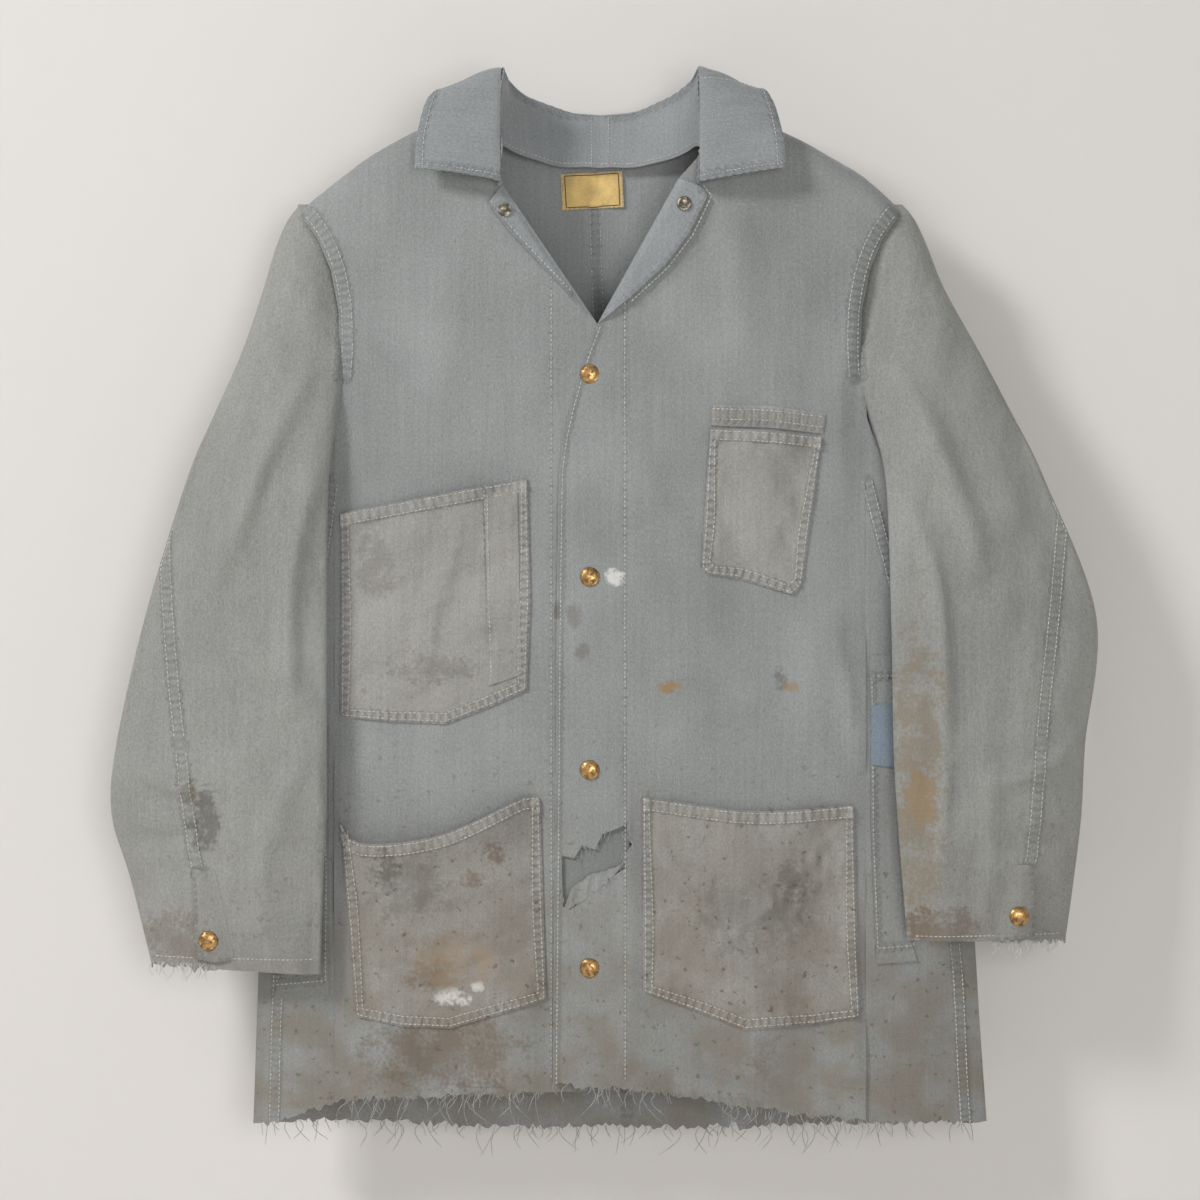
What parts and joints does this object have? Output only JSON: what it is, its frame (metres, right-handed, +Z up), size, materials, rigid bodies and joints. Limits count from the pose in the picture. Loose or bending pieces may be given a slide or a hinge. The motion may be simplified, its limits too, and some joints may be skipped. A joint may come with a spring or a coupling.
{
  "type": "artist work smock",
  "caption": "Long-sleeved cotton work smock with turned-down collar, snap front, patch pockets and snap cuffs, in its hanging shape.",
  "frame": {"origin": "middle of the whole smock's width and depth, level with the back hem", "axes": "+Z up, the front faces -Y, the wearer's left is +X"},
  "size_m": [0.7779, 0.0978, 0.8316],
  "materials": {
    "twill": "faded grey-blue cotton twill, matt, washed soft, with pale stitching",
    "pocket_twill": "the same twill, soiled brown-grey by wear",
    "collar_twill": "the same twill, bluer and more faded",
    "denim_patch": "light blue denim",
    "label": "woven yellow tape, plain",
    "snap_brass": "aged brass with a worn shine",
    "snap_nickel": "dull plated metal"
  },
  "bodies": {
    "shell": {"back_panel_right": "twill", "back_panel_left": "twill", "back_seam": "twill", "side_panel_right": "twill", "side_panel_left": "twill", "shoulder_right": "twill", "shoulder_left": "twill", "upper_front_right": "twill", "upper_front_left": "twill", "side_slit_facing_right": "pocket_twill", "side_slit_facing_left": "pocket_twill", "mending_patch": "denim_patch", "collar_stand": "collar_twill", "collar_back": "collar_twill", "neck_label": "label", "sleeve_cap_right": "twill", "sleeve_cap_left": "twill", "top_snap_cap": "snap_brass", "top_snap_stud": "snap_nickel"},
    "front_right": {"front_right": "twill", "facing_right": "twill", "tool_pocket": "pocket_twill", "pencil_slot": "pocket_twill", "lower_pocket_right": "pocket_twill", "front_snap_studs": "snap_nickel", "front_snap_eyelets": "snap_nickel"},
    "front_left": {"front_left": "twill", "facing_left": "twill", "chest_pocket": "pocket_twill", "chest_pocket_band": "pocket_twill", "lower_pocket_left": "pocket_twill", "front_snap_caps": "snap_brass", "front_snap_sockets": "snap_nickel"},
    "lapel_right": {"lapel_right": "twill", "neck_snap_stud": "snap_nickel"},
    "lapel_left": {"lapel_left": "twill", "neck_snap_socket": "snap_nickel"},
    "collar_wing_right": {"collar_wing_right": "collar_twill"},
    "collar_wing_left": {"collar_wing_left": "collar_twill"},
    "sleeve_upper_right": {"sleeve_upper_right": "twill"},
    "sleeve_upper_left": {"sleeve_upper_left": "twill"},
    "sleeve_lower_right": {"sleeve_lower_right": "twill", "cuff_snap_stud_right": "snap_nickel"},
    "sleeve_lower_left": {"sleeve_lower_left": "twill", "cuff_snap_stud_left": "snap_nickel"},
    "cuff_flap_right": {"cuff_flap_right": "twill", "cuff_snap_cap_right": "snap_brass"},
    "cuff_flap_left": {"cuff_flap_left": "twill", "cuff_snap_cap_left": "snap_brass"}
  },
  "joints": [
    {"name": "front_left_open", "type": "hinge", "parent": "shell", "child": "front_left", "pos_m": [0.208, -0.01825, 0.29], "axis": [0, 0, 1], "range_deg": [0, 60], "stiffness_Nm_per_rad": 0.02},
    {"name": "front_right_open", "type": "hinge", "parent": "shell", "child": "front_right", "pos_m": [-0.208, -0.01825, 0.29], "axis": [0, 0, -1], "range_deg": [0, 42], "stiffness_Nm_per_rad": 0.02},
    {"name": "lapel_right_fold", "type": "hinge", "parent": "shell", "child": "lapel_right", "pos_m": [-0.038, -0.035, 0.6815], "axis": [-0.5583, 0, 0.8297], "range_deg": [0, 150], "stiffness_Nm_per_rad": 0.01},
    {"name": "lapel_left_fold", "type": "hinge", "parent": "shell", "child": "lapel_left", "pos_m": [0.0285, -0.042, 0.684], "axis": [-0.4783, 0, -0.8782], "range_deg": [0, 150], "stiffness_Nm_per_rad": 0.01},
    {"name": "collar_right_turn", "type": "hinge", "parent": "shell", "child": "collar_wing_right", "pos_m": [-0.077, -0.024, 0.829], "axis": [0, 0.2251, 0.9743], "range_deg": [0, 100], "stiffness_Nm_per_rad": 0.01},
    {"name": "collar_left_turn", "type": "hinge", "parent": "shell", "child": "collar_wing_left", "pos_m": [0.077, -0.024, 0.829], "axis": [0, -0.2251, -0.9743], "range_deg": [0, 100], "stiffness_Nm_per_rad": 0.01},
    {"name": "sleeve_right_lift", "type": "hinge", "parent": "shell", "child": "sleeve_upper_right", "pos_m": [-0.279, -0.021, 0.608], "axis": [0, 1, 0], "range_deg": [0, 60], "stiffness_Nm_per_rad": 0.02},
    {"name": "sleeve_left_lift", "type": "hinge", "parent": "shell", "child": "sleeve_upper_left", "pos_m": [0.3, -0.021, 0.608], "axis": [0, -1, 0], "range_deg": [0, 60], "stiffness_Nm_per_rad": 0.02},
    {"name": "elbow_right_bend", "type": "hinge", "parent": "sleeve_upper_right", "child": "sleeve_lower_right", "pos_m": [-0.298, -0.051, 0.245], "axis": [-1, 0, 0], "range_deg": [0, 90], "stiffness_Nm_per_rad": 0.02},
    {"name": "elbow_left_bend", "type": "hinge", "parent": "sleeve_upper_left", "child": "sleeve_lower_left", "pos_m": [0.305, -0.051, 0.245], "axis": [-1, 0, 0], "range_deg": [0, 90], "stiffness_Nm_per_rad": 0.02},
    {"name": "cuff_right_open", "type": "hinge", "parent": "sleeve_lower_right", "child": "cuff_flap_right", "pos_m": [-0.2915, -0.04525, 0.17], "axis": [-0.2216, 0, 0.9751], "range_deg": [0, 110], "stiffness_Nm_per_rad": 0.005},
    {"name": "cuff_left_open", "type": "hinge", "parent": "sleeve_lower_left", "child": "cuff_flap_left", "pos_m": [0.3125, -0.04525, 0.1775], "axis": [-0.2464, 0, -0.9692], "range_deg": [0, 110], "stiffness_Nm_per_rad": 0.005}
  ],
  "couplings": [
    {"joint": "front_right_open", "follows": "front_left_open", "ratio": 0.7}
  ]
}
